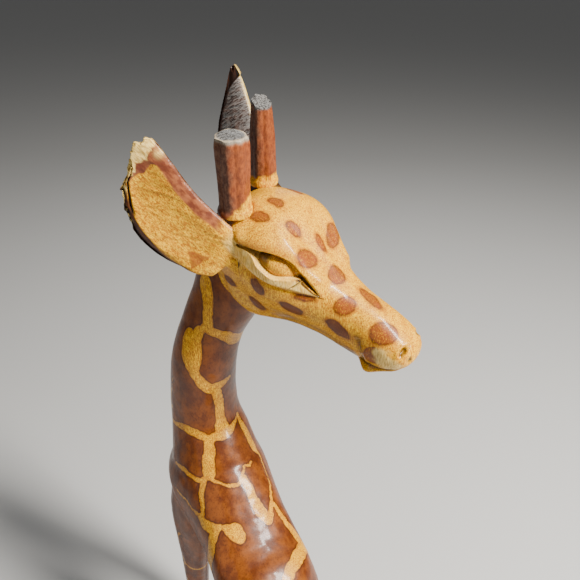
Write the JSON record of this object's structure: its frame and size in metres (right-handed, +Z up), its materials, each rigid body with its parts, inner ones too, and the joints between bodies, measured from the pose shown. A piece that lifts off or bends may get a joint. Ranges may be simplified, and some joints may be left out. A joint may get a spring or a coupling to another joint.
{
  "type": "carved giraffe statue",
  "caption": "Painted carved wooden giraffe, standing on four legs with its head turned back, with pegged-in horns, ears and tail.",
  "frame": {"origin": "on the surface it stands on, under the middle of its bounding box", "axes": "+Z up, the giraffe's body faces -X, its left side is -Y"},
  "size_m": [0.1383, 0.1103, 0.475],
  "materials": {
    "figure_wood": "ochre paint with red-brown patches under a gloss varnish",
    "horn_wood": "red-brown paint under varnish, worn to grey wood at the top",
    "ear_wood": "ochre paint with dark red-brown edges under varnish",
    "tail_wood": "red-brown paint with a dark tuft under varnish"
  },
  "bodies": {
    "root": {"carved_figure": "figure_wood", "horn_right": "horn_wood", "horn_left": "horn_wood", "ear_right": "ear_wood", "ear_left": "ear_wood", "tail": "tail_wood"}
  },
  "joints": []
}
